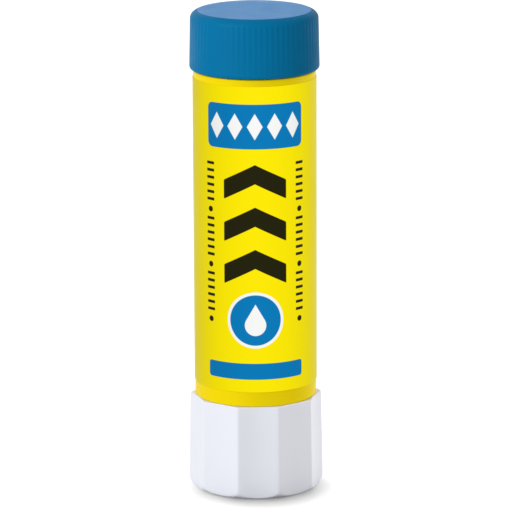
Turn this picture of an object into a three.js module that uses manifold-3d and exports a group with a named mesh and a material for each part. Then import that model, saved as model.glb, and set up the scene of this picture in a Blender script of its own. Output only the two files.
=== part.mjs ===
// A twist-up glue stick: ribbed screw cap and its sealing ring, labelled barrel, threaded spindle,
// carrier with its glue, and a fluted knob to turn.
// Millimetres, +Z up the stick. The origin is the middle of the foot that the stick stands on.

import * as THREE from "three";
import { mergeVertices, toCreasedNormals } from "three/addons/utils/BufferGeometryUtils.js";
import Module from "manifold-3d";

const wasm = await Module();
wasm.setup();

// Heights of the stack, from the foot upwards
const knobHeight = 19.65;
const knobGap = 0.3; // running gap between the knob and the barrel
const barrelLength = 67.65; // full-width part, shoulder to shoulder
const neckHeight = 7.15;
const sealPlay = 0.05; // above and below the sealing ring
const sealThickness = 1.2;
const capHeadroom = 2.3; // recess in the roof, where the tip of the glue may stand
const capRoof = 1.65;

// Clearances
const runningClearance = 0.2; // round a piece that turns in another
const slidingClearance = 0.25; // round a piece that slides in another
const threadClearance = 0.15; // between two threads, radially and on the flank
const castGap = 0.1; // between the glue and what it is cast against

// Barrel
const barrelRadius = 12.55;
const barrelWall = 1.75;
const barrelEdge = 0.3; // chamfer on both shoulders
const floorThickness = 1.5;
const floorRise = 0.6; // underside of the floor above the lower shoulder
const spigotWall = 0.85;
const spigotLength = 7;
const snapLipHeight = 1.2;
const snapLipReach = 0.45;
const railCount = 4;
const railHeight = 0.5;
const railWidth = 1.4;
const railHeadroom = 4.5; // from the top of a rail to the rim
const mouthChamfer = 0.3;

// Screw neck and the cap's thread
const neckWall = 0.9;
const capThread = { lead: 6, starts: 2, height: 0.55, rootWidth: 1.3, crestWidth: 0.7 };
const neckThreadRise = 4.2; // height that each ridge on the neck climbs
const neckThreadStart = 1.6; // above the shoulder, to the middle of the ridge
const capThreadRise = 3.3;
const capThreadLag = 1; // climb of the neck's ridge before the cap's ridge begins

// Cap
const capWall = 0.6; // outside the thread, at the shoulder
const capFlare = 0.25; // the cap widens a little towards its lip
const capShoulderWidth = 1.6; // from the edge of the flat top
const capShoulderDrop = 1.5;
const capEdgeSlope = 22; // degrees at which the shoulder leaves the flat top
const capLipRound = 0.7;
const capLipGap = 0.3; // between the lip and the barrel's shoulder
const capRibCount = 72;
const capRibDepth = 0.18;
const capRibStart = 0.9; // below the flat top
const capRibFade = 0.8;

// Label
const labelFilm = 0.1;
const labelAdhesive = 0.03;
const labelBelow = 2.85; // bare plastic under the label
const labelAbove = 1.2; // bare plastic over the label
const labelOverlap = 12; // degrees of film on film at the back
const labelStep = 5; // degrees over which the film climbs onto itself

// Knob
const knobLedge = 1.15; // how far the ridges stand out beyond the barrel
const knobFlare = 0.35; // the knob widens a little towards its foot
const knobFootRound = 2.05;
const knobTopEdge = 0.25;
const fluteCount = 10;
const fluteHollow = 0.28; // how far a flute lies inside the straight chord between two ridges
const fluteTurn = 2; // degrees from the front to the middle of the nearest flute
const footRecess = 1.2;
const footRingWidth = 1.6;
const knobFloor = 2;
const hubRadius = 5.2;
const webCount = 4;
const webThickness = 1.1;
const webHeight = 6;

// Spindle
const spindleCore = 2.1;
const spindleThread = { lead: 4.5, height: 0.9, rootWidth: 1.9, crestWidth: 1.0 };
const tenonFlats = 5.0; // across the flats of the hexagon
const tenonLength = 11.7;
const journalRadius = 3.3;
const flangeRadius = 4.6;
const flangeHeight = 1;
const flangeCone = 1;
const spindleEnd = 1.2; // plain end above the thread

// Carrier and glue
const carrierHeight = 11;
const carrierWall = 1;
const carrierFloor = 0.35; // gap under the carrier at its lowest
const carrierWeb = 1.5;
const nutRadius = 4.6;
const nutHeight = 5;
const carrierTravel = 54;
const glueColumn = 9.4; // glue that stands out of the carrier's cup, part used
const glueRound = 2.2; // worn edge of the tip

// Cutting and joining
const overrun = 1; // how far a cutter reaches past the face that it opens
const weld = 0.25; // how far joined solids reach into each other

// Steps round a circle
const roundSteps = 60;
const softSteps = 36;
const smallSteps = 24;
const threadSteps = 12;

// Levels worked out from the stack
const barrelBottom = knobHeight + knobGap;
const barrelTop = barrelBottom + barrelLength;
const rimLevel = barrelTop + neckHeight;
const sealBottom = rimLevel + sealPlay;
const sealTop = sealBottom + sealThickness;
const capSeat = sealTop + sealPlay;
const capCeiling = capSeat + capHeadroom;
const capTop = capCeiling + capRoof;
const capBottom = barrelTop + capLipGap;
const floorUnderside = barrelBottom + floorRise;
const floorTop = floorUnderside + floorThickness;
const spigotBottom = barrelBottom - spigotLength;
const knobFloorTop = footRecess + knobFloor;
const hubTop = floorUnderside - knobGap;
const flangeBottom = floorTop + knobGap;
const flangeTop = flangeBottom + flangeHeight;
const threadBottom = flangeTop + flangeCone;
const carrierBottom = floorTop + carrierFloor;
const webBottom = threadBottom + carrierFloor;
const webTop = webBottom + carrierWeb;
const nutTop = webTop + nutHeight;
const carrierTop = carrierBottom + carrierHeight;
const glueTop = carrierTop + glueColumn;
const spindleTop = nutTop + carrierTravel;

// Radii worked out from their neighbours
const boreRadius = barrelRadius - barrelWall;
const spigotRadius = boreRadius + spigotWall;
const snapLipRadius = spigotRadius + snapLipReach;
const wellRadius = spigotRadius + runningClearance;
const neckRadius = boreRadius + neckWall;
const neckCrest = neckRadius + capThread.height;
const capInnerRadius = neckCrest + threadClearance;
const capCrest = neckRadius + threadClearance;
const capRecessRadius = boreRadius + slidingClearance;
const capShoulderRadius = capInnerRadius + capWall;
const capSkirtRadius = capShoulderRadius + capFlare;
const capTopRadius = capShoulderRadius - capShoulderWidth;
const knobTopRadius = barrelRadius + knobLedge;
const knobLowRadius = knobTopRadius + knobFlare;
const knobFootRadius = knobLowRadius - knobFootRound;
const carrierRadius = boreRadius - slidingClearance;
const cupRadius = carrierRadius - carrierWall;
const spindleCrest = spindleCore + spindleThread.height;
const floorHole = journalRadius + runningClearance;

// Small helpers
const radians = THREE.MathUtils.degToRad;
const fullTurn = 2 * Math.PI;
const upAxis = new THREE.Vector3(0, 0, 1);

function smoothStep(x) {
  const t = Math.min(1, Math.max(0, x));
  return t * t * (3 - 2 * t);
}

// A closed geometry as a solid. Triangles that shrink to a line at a pole are left out.
function solidOf(geometry) {
  const bare = geometry.clone();
  bare.deleteAttribute("normal");
  bare.deleteAttribute("uv");
  const merged = mergeVertices(bare, 1e-4);
  const corners = merged.index.array;
  const kept = [];
  for (let i = 0; i < corners.length; i += 3) {
    const [a, b, c] = corners.slice(i, i + 3);
    if (a !== b && b !== c && c !== a) kept.push(a, b, c);
  }
  const vertProperties = merged.attributes.position.array;
  const triVerts = new Uint32Array(kept);
  const solid = new wasm.Manifold(new wasm.Mesh({ numProp: 3, vertProperties, triVerts }));
  if (solid.volume() > 0) return solid;
  const turned = new Uint32Array(kept.reverse());
  return new wasm.Manifold(new wasm.Mesh({ numProp: 3, vertProperties, triVerts: turned }));
}

function geometryOf(solid) {
  const { vertProperties, triVerts } = solid.getMesh();
  const geometry = new THREE.BufferGeometry();
  geometry.setAttribute("position", new THREE.BufferAttribute(vertProperties, 3));
  geometry.setIndex(new THREE.BufferAttribute(triVerts, 1));
  return toCreasedNormals(geometry, radians(30));
}

// A turned solid from [radius, height] points. The outline closes on itself or ends on the axis.
function turned(outline, steps = roundSteps) {
  const points = outline.map(([radius, height]) => new THREE.Vector2(radius, height));
  const closes = outline[0][0] > 0 || outline[outline.length - 1][0] > 0;
  if (closes) points.push(points[0].clone());
  return solidOf(new THREE.LatheGeometry(points, steps).rotateX(Math.PI / 2));
}

function disc(radius, bottom, top, steps = roundSteps) {
  const outline = [[0, bottom], [radius, bottom], [radius, top], [0, top]];
  return turned(outline, steps);
}

// A solid skinned over a row of rings with equally many points, with a fan over each end.
function loft(rings) {
  const count = rings[0].length;
  const position = [];
  const index = [];
  for (const ring of rings) for (const point of ring) position.push(point.x, point.y, point.z);
  for (let row = 0; row + 1 < rings.length; row++) {
    for (let i = 0; i < count; i++) {
      const a = row * count + i;
      const b = row * count + ((i + 1) % count);
      index.push(a, b, b + count, a, b + count, a + count);
    }
  }
  const ends = [0, rings.length - 1];
  for (const end of ends) {
    const middle = new THREE.Vector3();
    for (const point of rings[end]) middle.add(point);
    middle.divideScalar(count);
    position.push(middle.x, middle.y, middle.z);
    const hub = position.length / 3 - 1;
    for (let i = 0; i < count; i++) {
      const a = end * count + i;
      const b = end * count + ((i + 1) % count);
      if (end === 0) index.push(b, a, hub);
      else index.push(a, b, hub);
    }
  }
  const geometry = new THREE.BufferGeometry();
  geometry.setAttribute("position", new THREE.Float32BufferAttribute(position, 3));
  geometry.setIndex(index);
  return solidOf(geometry);
}

function polar(radius, angle, height) {
  return new THREE.Vector3(radius * Math.cos(angle), radius * Math.sin(angle), height);
}

// A ring of points whose radius is a function of the angle
function ring(steps, height, radiusAt) {
  return Array.from({ length: steps }, (_, i) => {
    const angle = (i / steps) * fullTurn;
    return polar(radiusAt(angle), angle, height);
  });
}

// A bar that starts on the axis and runs outwards at an angle
function spoke(angle, inner, outer, width, bottom, top) {
  const box = new THREE.BoxGeometry(outer - inner, width, top - bottom);
  box.translate((inner + outer) / 2, 0, (bottom + top) / 2);
  return solidOf(box.rotateZ(angle));
}

function hexagon(flats, bottom, top) {
  const prism = new THREE.CylinderGeometry(flats / Math.sqrt(3), flats / Math.sqrt(3), top - bottom, 6);
  return solidOf(prism.rotateX(Math.PI / 2).translate(0, 0, (bottom + top) / 2));
}

// A thread ridge: a trapezoid carried along a helix, which sinks into its wall at a run-out end.
// It stands out of the wall at rootRadius and reaches crestRadius. hand is 1 right, -1 left.
function threadRidge(size) {
  const { rootRadius, crestRadius, rootWidth, crestWidth, lead, hand } = size;
  const { bottom, rise, start, steps, runOut } = size;
  const height = crestRadius - rootRadius;
  const inward = rootRadius - Math.sign(height) * weld;
  const flank = (rootWidth - crestWidth) / 2 / Math.abs(height);
  const baseHalf = rootWidth / 2 + flank * weld;
  const count = Math.round((rise / lead) * steps);
  const rings = [];
  for (let i = 0; i <= count; i++) {
    const climb = (rise * i) / count;
    const angle = start + (hand * climb * fullTurn) / lead;
    const fromEnd = Math.min(i, count - i) / Math.max(1, runOut);
    const grown = runOut ? smoothStep(fromEnd) : 1;
    const crest = inward + (crestRadius - inward) * (0.3 + 0.7 * grown);
    const middle = bottom + climb;
    rings.push([
      polar(inward, angle, middle - baseHalf),
      polar(crest, angle, middle - crestWidth / 2),
      polar(crest, angle, middle + crestWidth / 2),
      polar(inward, angle, middle + baseHalf),
    ]);
  }
  return loft(rings);
}

function joined(first, ...others) {
  return others.reduce((solid, other) => solid.add(other), first);
}

function cut(first, ...others) {
  return others.reduce((solid, other) => solid.subtract(other), first);
}

function pattern(count, make) {
  return Array.from({ length: count }, (_, i) => make((i / count) * fullTurn, i));
}

// The two-start thread that the neck and the cap share
function capRidges({ rootRadius, crestRadius, bottom, rise, lag }) {
  const { lead, starts, rootWidth, crestWidth } = capThread;
  return pattern(starts, (turn) =>
    threadRidge({
      rootRadius, crestRadius, rootWidth, crestWidth, lead, bottom, rise,
      hand: 1,
      start: turn + (lag * fullTurn) / lead,
      steps: roundSteps / 2,
      runOut: 3,
    }),
  );
}

// Barrel: tube, floor, lower spigot with its snap lip, rails inside and the threaded neck
function barrel() {
  const body = turned([
    [boreRadius, spigotBottom],
    [spigotRadius, spigotBottom],
    [snapLipRadius, spigotBottom + snapLipHeight / 3],
    [snapLipRadius, spigotBottom + (snapLipHeight * 2) / 3],
    [spigotRadius, spigotBottom + snapLipHeight],
    [spigotRadius, barrelBottom],
    [barrelRadius - barrelEdge, barrelBottom],
    [barrelRadius, barrelBottom + barrelEdge],
    [barrelRadius, barrelTop - barrelEdge],
    [barrelRadius - barrelEdge, barrelTop],
    [neckRadius, barrelTop],
    [neckRadius, rimLevel - mouthChamfer],
    [neckRadius - mouthChamfer, rimLevel],
    [boreRadius + mouthChamfer, rimLevel],
    [boreRadius, rimLevel - mouthChamfer],
  ]);
  const plate = cut(
    disc(boreRadius + weld, floorUnderside, floorTop),
    disc(floorHole, floorUnderside - overrun, floorTop + overrun, smallSteps),
  );
  const rails = pattern(railCount, (turn) =>
    spoke(
      turn + fullTurn / railCount / 2,
      boreRadius - railHeight,
      boreRadius + weld,
      railWidth,
      floorTop - weld,
      rimLevel - railHeadroom,
    ),
  );
  const ridges = capRidges({
    rootRadius: neckRadius,
    crestRadius: neckCrest,
    bottom: barrelTop + neckThreadStart,
    rise: neckThreadRise,
    lag: 0,
  });
  return joined(body, plate, ...rails, ...ridges);
}

// Label: one film wrapped round the barrel, which climbs onto its own start at the back
function label() {
  const inner = barrelRadius + labelAdhesive;
  const step = labelFilm + labelAdhesive;
  const sweep = 360 + labelOverlap;
  const count = Math.round(sweep / (360 / roundSteps));
  const back = 90;
  const outline = [];
  const radiusAt = (swept) => inner + step * smoothStep((swept - 360 + labelStep) / labelStep);
  const sweptAt = (i) => (sweep * i) / count;
  for (let i = 0; i <= count; i++) outline.push([radiusAt(sweptAt(i)), sweptAt(i)]);
  for (let i = count; i >= 0; i--) outline.push([radiusAt(sweptAt(i)) + labelFilm, sweptAt(i)]);
  const shape = new THREE.Shape(
    outline.map(([radius, swept]) => {
      const angle = radians(back + swept);
      return new THREE.Vector2(radius * Math.cos(angle), radius * Math.sin(angle));
    }),
  );
  const bottom = barrelBottom + labelBelow;
  const depth = barrelTop - labelAbove - bottom;
  const film = new THREE.ExtrudeGeometry(shape, { depth, bevelEnabled: false });
  return solidOf(film.translate(0, 0, bottom));
}

// Cap: outside with a flat top, rounded shoulder and fine ribs, hollow with its thread inside
function cap() {
  const columns = capRibCount * 2;
  const ribbed = (radius, depth) => (angle) => radius + (depth / 2) * Math.cos(capRibCount * angle);
  const skirtBottom = capBottom + capLipRound;
  const shoulderLevel = capTop - capShoulderDrop;
  const rings = [];
  const lipSteps = 2;
  for (let i = 0; i <= lipSteps; i++) {
    const a = (i / lipSteps) * (Math.PI / 2);
    const level = skirtBottom - capLipRound * Math.cos(a);
    const radius = capSkirtRadius - capLipRound * (1 - Math.sin(a));
    rings.push(ring(columns, level, ribbed(radius, capRibDepth * Math.sin(a))));
  }
  const shoulderSteps = 4;
  const slope = radians(capEdgeSlope);
  for (let i = 0; i <= shoulderSteps; i++) {
    const a = (i / shoulderSteps) * (Math.PI / 2 - slope);
    const level = shoulderLevel + (capShoulderDrop * Math.sin(a)) / Math.cos(slope);
    const inwards = (1 - Math.cos(a)) / (1 - Math.sin(slope));
    const radius = capShoulderRadius - (capShoulderRadius - capTopRadius) * inwards;
    const depth = capRibDepth * smoothStep((capTop - capRibStart - level + capRibFade) / capRibFade);
    rings.push(ring(columns, level, ribbed(radius, i === shoulderSteps ? 0 : depth)));
  }
  const hollow = turned([
    [0, capBottom - overrun],
    [capInnerRadius, capBottom - overrun],
    [capInnerRadius, capSeat],
    [capRecessRadius, capSeat],
    [capRecessRadius, capCeiling],
    [0, capCeiling],
  ]);
  const { rootWidth, crestWidth, height } = capThread;
  const flankSlope = (rootWidth - crestWidth) / 2 / height;
  const ridgesApart = rootWidth - flankSlope * (height + threadClearance) + threadClearance;
  const ridges = capRidges({
    rootRadius: capInnerRadius,
    crestRadius: capCrest,
    bottom: barrelTop + neckThreadStart + capThreadLag - ridgesApart,
    rise: capThreadRise,
    lag: capThreadLag,
  });
  return joined(cut(loft(rings), hollow), ...ridges);
}

// Sealing ring between the cap's seat and the barrel's rim
function capSeal() {
  const inner = capRecessRadius;
  const outer = capInnerRadius - runningClearance;
  return turned([
    [inner, sealBottom],
    [outer, sealBottom],
    [outer, sealTop],
    [inner, sealTop],
  ], softSteps);
}

// Knob: fluted outside, foot ring, well for the barrel's spigot, hub with a hexagon socket, webs
function knob() {
  const perFlute = 6;
  const columns = fluteCount * perFlute;
  const halfFlute = Math.PI / fluteCount;
  const frontMiddle = radians(-90 + fluteTurn);
  const fluted = (ridge, limit) => (angle) => {
    const fromMiddle = THREE.MathUtils.euclideanModulo(angle + halfFlute, 2 * halfFlute) - halfFlute;
    const chord = (ridge * Math.cos(halfFlute)) / Math.cos(fromMiddle);
    const hollow = fluteHollow * (1 - (fromMiddle / halfFlute) ** 2);
    return Math.min(limit, chord - hollow);
  };
  const ridgeAt = (level) =>
    knobLowRadius - (knobFlare * (level - knobFootRound)) / (knobHeight - knobFootRound);
  const rings = [];
  const roundRows = 5;
  for (let i = 0; i <= roundRows; i++) {
    const a = (i / roundRows) * (Math.PI / 2);
    const level = knobFootRound * (1 - Math.cos(a));
    const limit = knobFootRadius + knobFootRound * Math.sin(a);
    rings.push(ring(columns, level, fluted(ridgeAt(level), limit)));
  }
  const edgeLevel = knobHeight - knobTopEdge;
  rings.push(ring(columns, edgeLevel, fluted(ridgeAt(edgeLevel), knobLowRadius)));
  rings.push(ring(columns, knobHeight, fluted(ridgeAt(knobHeight) - knobTopEdge, knobLowRadius)));

  const recess = disc(knobFootRadius - footRingWidth, -overrun, footRecess);
  const grooveRadius = snapLipRadius + runningClearance;
  const grooveBottom = spigotBottom - knobGap;
  const grooveTop = spigotBottom + snapLipHeight + knobGap;
  const well = turned([
    [0, knobFloorTop],
    [wellRadius, knobFloorTop],
    [wellRadius, grooveBottom],
    [grooveRadius, grooveBottom + snapLipReach],
    [grooveRadius, grooveTop - snapLipReach],
    [wellRadius, grooveTop],
    [wellRadius, knobHeight + overrun],
    [0, knobHeight + overrun],
  ]);
  const outside = loft(rings.map((points) => points.map((p) => p.applyAxisAngle(upAxis, frontMiddle))));
  const webs = pattern(webCount, (turn) =>
    spoke(turn, tenonFlats, wellRadius + weld, webThickness, knobFloorTop - weld, knobFloorTop + webHeight),
  );
  const hub = disc(hubRadius, knobFloorTop - weld, hubTop, smallSteps);
  const socketFlats = tenonFlats + 2 * threadClearance;
  const socket = hexagon(socketFlats, hubTop - tenonLength - knobGap, hubTop + overrun);
  return cut(joined(cut(outside, recess, well), hub, ...webs), socket);
}

// The male thread of the spindle, or with a clearance the shape that the nut needs cut out of it
function spindleRidge(bottom, rise, clearance, runOut) {
  const { lead, rootWidth, crestWidth } = spindleThread;
  return threadRidge({
    rootRadius: spindleCore,
    crestRadius: spindleCrest + clearance,
    rootWidth: rootWidth + 2 * clearance,
    crestWidth: crestWidth + 2 * clearance,
    lead, bottom, rise, runOut,
    hand: -1,
    start: (-(bottom - threadBottom) * fullTurn) / lead,
    steps: threadSteps,
  });
}

// Spindle: hexagon tenon, journal through the barrel's floor, snap flange and left-hand thread
function spindle() {
  const foot = turned([
    [0, hubTop],
    [journalRadius, hubTop],
    [journalRadius, flangeBottom],
    [flangeRadius, flangeBottom],
    [flangeRadius, flangeTop],
    [spindleCrest, threadBottom],
    [0, threadBottom],
  ], smallSteps);
  const rod = turned([
    [0, flangeTop],
    [spindleCore, flangeTop],
    [spindleCore, spindleTop - spindleEnd / 2],
    [spindleCore - spindleEnd / 2, spindleTop],
    [0, spindleTop],
  ], threadSteps);
  const tenon = hexagon(tenonFlats, hubTop - tenonLength, hubTop + weld);
  const ridgeBottom = threadBottom + spindleThread.rootWidth / 2;
  const ridgeRise = spindleTop - spindleEnd - spindleThread.rootWidth / 2 - ridgeBottom;
  return joined(foot, rod, tenon, spindleRidge(ridgeBottom, ridgeRise, 0, 2));
}

// Slots that let the carrier and the glue pass the barrel's rails
function railSlots(bottom, top) {
  return pattern(railCount, (turn) =>
    spoke(
      turn + fullTurn / railCount / 2,
      boreRadius - railHeight - slidingClearance,
      boreRadius + overrun,
      railWidth + 2 * slidingClearance,
      bottom,
      top,
    ),
  );
}

// Carrier: cup for the glue on a web, with the nut that climbs the spindle
function carrier() {
  const body = turned([
    [nutRadius, webBottom],
    [cupRadius, webBottom],
    [cupRadius, carrierBottom],
    [carrierRadius, carrierBottom],
    [carrierRadius, carrierTop],
    [cupRadius, carrierTop],
    [cupRadius, webTop],
    [nutRadius, webTop],
  ]);
  const nutBase = disc(nutRadius + weld, webBottom, webTop, smallSteps);
  const nut = disc(nutRadius, webTop - weld, nutTop, smallSteps);
  const bore = disc(spindleCore + threadClearance, webBottom - overrun, nutTop + overrun, smallSteps);
  const grooveOverrun = spindleThread.lead / 2;
  const grooveRise = nutTop - webBottom + 2 * grooveOverrun;
  const groove = spindleRidge(webBottom - grooveOverrun, grooveRise, threadClearance, 0);
  const slots = railSlots(carrierBottom - overrun, carrierTop + overrun);
  return cut(joined(body, nutBase, nut), bore, groove, ...slots);
}

// Glue: cast in the cup and round the rails, with a bore for the spindle and a worn, rounded tip
function glue() {
  const inCup = cupRadius - castGap;
  const roundNut = nutRadius + 2 * castGap;
  const outline = [
    [roundNut, webTop + castGap],
    [inCup, webTop + castGap],
    [inCup, carrierTop + castGap],
    [carrierRadius, carrierTop + castGap],
  ];
  const roundRows = 4;
  for (let i = 0; i <= roundRows; i++) {
    const a = (i / roundRows) * (Math.PI / 2);
    outline.push([
      carrierRadius - glueRound * (1 - Math.cos(a)),
      glueTop - glueRound * (1 - Math.sin(a)),
    ]);
  }
  const bore = spindleCrest + slidingClearance;
  outline.push([bore, glueTop], [bore, nutTop + castGap], [roundNut, nutTop + castGap]);
  return cut(turned(outline, softSteps), ...railSlots(carrierBottom, glueTop + overrun));
}

// Finishes
const bluePlastic = new THREE.MeshStandardMaterial({ color: 0x0b6aa8, roughness: 0.42, metalness: 0 });
const yellowPlastic = new THREE.MeshStandardMaterial({ color: 0xe9d405, roughness: 0.38, metalness: 0 });
const yellowFilm = new THREE.MeshStandardMaterial({ color: 0xfeec02, roughness: 0.3, metalness: 0 });
const whitePlastic = new THREE.MeshStandardMaterial({ color: 0xe6e8ee, roughness: 0.4, metalness: 0 });
const naturalPlastic = new THREE.MeshStandardMaterial({ color: 0xeeeeea, roughness: 0.5, metalness: 0 });
const softSeal = new THREE.MeshStandardMaterial({ color: 0xd9dde0, roughness: 0.7, metalness: 0 });
const blueGlue = new THREE.MeshStandardMaterial({ color: 0x7d9fd6, roughness: 0.55, metalness: 0 });

const glueStick = new THREE.Group();

function piece(name, solid, material) {
  const mesh = new THREE.Mesh(geometryOf(solid), material);
  mesh.name = name;
  glueStick.add(mesh);
}

piece("barrel", barrel(), yellowPlastic);
piece("label", label(), yellowFilm);
piece("knob", knob(), whitePlastic);
piece("spindle", spindle(), naturalPlastic);
piece("carrier", carrier(), naturalPlastic);
piece("glue", glue(), blueGlue);
piece("cap", cap(), bluePlastic);
piece("cap_seal", capSeal(), softSeal);

export default glueStick;
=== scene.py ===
import math

import bmesh
import bpy
import numpy as np
from mathutils import Matrix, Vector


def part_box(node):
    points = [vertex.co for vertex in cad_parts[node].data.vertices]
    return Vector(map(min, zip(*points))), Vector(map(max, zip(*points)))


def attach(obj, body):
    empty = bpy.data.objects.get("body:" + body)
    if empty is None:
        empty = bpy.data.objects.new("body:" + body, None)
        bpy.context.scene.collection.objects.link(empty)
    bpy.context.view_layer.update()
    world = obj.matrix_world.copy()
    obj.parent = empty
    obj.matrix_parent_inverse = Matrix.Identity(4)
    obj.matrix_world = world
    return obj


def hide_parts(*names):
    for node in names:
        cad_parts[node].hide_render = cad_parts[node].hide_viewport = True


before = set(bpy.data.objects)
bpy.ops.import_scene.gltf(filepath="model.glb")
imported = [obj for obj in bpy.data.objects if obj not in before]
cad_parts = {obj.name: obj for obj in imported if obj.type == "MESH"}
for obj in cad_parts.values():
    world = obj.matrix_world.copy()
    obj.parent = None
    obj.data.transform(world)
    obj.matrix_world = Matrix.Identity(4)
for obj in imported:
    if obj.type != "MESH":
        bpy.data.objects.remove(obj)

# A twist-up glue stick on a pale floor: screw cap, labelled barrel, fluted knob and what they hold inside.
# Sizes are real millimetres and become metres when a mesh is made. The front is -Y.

scene = bpy.context.scene
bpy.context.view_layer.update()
print("frame loaded with", len(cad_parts), "nodes")


# Camera at the photograph's angle

camera = {
    "lens": 271.57,
    "sensor": 36,  # its width
    "distance": 796.7,  # from the aim point on the stick's axis
    "aimHeight": 48.51,
    "pitch": 13.44,  # degrees, looking down
    "yaw": 0.011,  # degrees, to the right
    "roll": -0.244,
    "clip": (0.01, 20),  # metres
}


def addCamera(view):
    # Place: aim point - distance * forward. Forward is +Y turned down by the pitch and right by the yaw.
    pitch, yaw, roll = (math.radians(view[key]) for key in ("pitch", "yaw", "roll"))
    level = np.array([0.0, math.cos(pitch), -math.sin(pitch)])
    side = np.array([1.0, 0.0, 0.0])
    upright = np.cross(side, level)
    place = np.array([0, 0, view["aimHeight"]]) - view["distance"] * level
    forward = level * math.cos(yaw) + side * math.sin(yaw)
    right = side * math.cos(yaw) - level * math.sin(yaw)
    xAxis = right * math.cos(roll) + upright * math.sin(roll)
    yAxis = upright * math.cos(roll) - right * math.sin(roll)
    data = bpy.data.cameras.new("photoCamera")
    data.lens = view["lens"]
    data.sensor_width = view["sensor"]
    data.clip_start, data.clip_end = view["clip"]
    seen = bpy.data.objects.new("photoCamera", data)
    scene.collection.objects.link(seen)
    matrix = np.eye(4)
    matrix[:3, :4] = np.stack([xAxis, yAxis, -forward, place * 0.001], 1)
    seen.matrix_world = Matrix(matrix.tolist())
    scene.camera = seen


addCamera(camera)
print("camera in place")


# Shape helpers

fullTurn = 2 * math.pi
mesher = {
    "arcTurn": math.radians(15),  # longest step round a rounded corner
    "support": 0.06,  # mm, rows this close to both ends of a longer straight stretch keep it flat
    "widestStep": 5,  # mm, on a stretch that names no step of its own
    "slack": 0.01,  # mm, when rows are picked by their radius or height
    "mergeReach": 1e-8,  # metres, for points that lie on the axis
}


def ease(x):
    # 3 t^2 - 2 t^3, with t held between 0 and 1
    t = np.clip(x, 0, 1)
    return t * t * (3 - 2 * t)


def extent(node):
    # Largest reach along X, bottom and top of a CAD node, in mm
    low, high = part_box(node)
    return max(-low.x, high.x) * 1000, low.z * 1000, high.z * 1000


def outlineOf(corners, closed=False):
    # Corners are (radius, height, fillet, longest step of the stretch that follows, weight).
    # Arc in a corner: centre + fillet * (sin((1 - s) t) a + sin(s t) b) / sin(t), where a and b point from
    # its centre to its ends and t is the angle between them. Stretch from p to q: p + (q - p) s.
    defaults = (0, 0, 0, mesher["widestStep"], 0)
    corners = [tuple(corner) + defaults[len(corner):] for corner in corners]
    places = np.array([corner[:2] for corner in corners], float)
    weights = [corner[4] for corner in corners]
    arcs = []
    for i, corner in enumerate(corners):
        fillet = corner[2]
        atEnd = not closed and i in (0, len(corners) - 1)
        if fillet == 0 or atEnd:
            arcs.append(places[i][None])
            continue
        back = places[i - 1] - places[i]
        ahead = places[(i + 1) % len(corners)] - places[i]
        back /= np.linalg.norm(back)
        ahead /= np.linalg.norm(ahead)
        turn = math.pi - math.acos(np.clip(back @ ahead, -1, 1))
        middle = (back + ahead) / np.linalg.norm(back + ahead)
        centre = places[i] + middle * fillet / math.cos(turn / 2)
        a = (places[i] + back * fillet * math.tan(turn / 2) - centre) / fillet
        b = (places[i] + ahead * fillet * math.tan(turn / 2) - centre) / fillet
        s = np.linspace(0, 1, max(2, math.ceil(turn / mesher["arcTurn"])) + 1)[:, None]
        arcs.append(centre + fillet * (np.sin((1 - s) * turn) * a + np.sin(s * turn) * b) / math.sin(turn))
    rows = []
    for i, arc in enumerate(arcs):
        rows.append(np.column_stack([arc, np.full(len(arc), weights[i])]))
        if i + 1 == len(arcs) and not closed:
            break
        nextOne = (i + 1) % len(arcs)
        start, end = arc[-1], arcs[nextOne][0]
        length = np.linalg.norm(end - start)
        if length < 4 * mesher["support"]:
            continue
        near = mesher["support"] / length
        even = np.linspace(0, 1, math.ceil(length / corners[i][3]) + 1)
        even = even[(even > 1.5 * near) & (even < 1 - 1.5 * near)]
        s = np.concatenate([[near], even, [1 - near]])[:, None]
        weight = weights[i] + (weights[nextOne] - weights[i]) * s
        rows.append(np.column_stack([start + (end - start) * s, weight]))
    return np.concatenate(rows)


def spun(outline, columns):
    # Radius, height, weight and angle on a grid of rows x columns. The angle grows evenly round the axis.
    angle = np.arange(columns) / columns * fullTurn
    radius, height, weight, angle = np.broadcast_arrays(
        outline[:, 0:1], outline[:, 1:2], outline[:, 2:3], angle[None])
    return radius.copy(), height.copy(), weight, angle


def addPiece(name, grid, material, body, replaced, wrapRows=False, wrapColumns=True):
    # Point = (radius cos angle, radius sin angle, height). Quads join neighbours on the grid, rows that lie
    # on the axis shrink to one point, and open column ends are closed by a face each.
    radius, height, angle = grid
    points = np.stack([radius * np.cos(angle), radius * np.sin(angle), height], -1).reshape(-1, 3) * 0.001
    index = np.arange(radius.size).reshape(radius.shape)
    if wrapRows:
        index = np.vstack([index, index[:1]])
    faces = []
    if not wrapColumns:
        faces = [index[:-1, 0].tolist(), index[:-1, -1].tolist()]
    else:
        index = np.hstack([index, index[:, :1]])
    quads = np.stack([index[:-1, :-1], index[:-1, 1:], index[1:, 1:], index[1:, :-1]], -1)
    faces += quads.reshape(-1, 4).tolist()
    mesh = bpy.data.meshes.new(name)
    mesh.from_pydata(points.tolist(), [], faces)
    work = bmesh.new()
    work.from_mesh(mesh)
    bmesh.ops.remove_doubles(work, verts=work.verts, dist=mesher["mergeReach"])
    bmesh.ops.recalc_face_normals(work, faces=work.faces)
    if work.calc_volume(signed=True) < 0:
        bmesh.ops.reverse_faces(work, faces=work.faces)
    work.to_mesh(mesh)
    work.free()
    mesh.polygons.foreach_set("use_smooth", np.ones(len(mesh.polygons), bool))
    mesh.materials.append(material)
    piece = bpy.data.objects.new(name, mesh)
    scene.collection.objects.link(piece)
    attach(piece, body)
    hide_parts(replaced)
    print(name, "has", len(mesh.polygons), "faces")
    return piece


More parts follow.
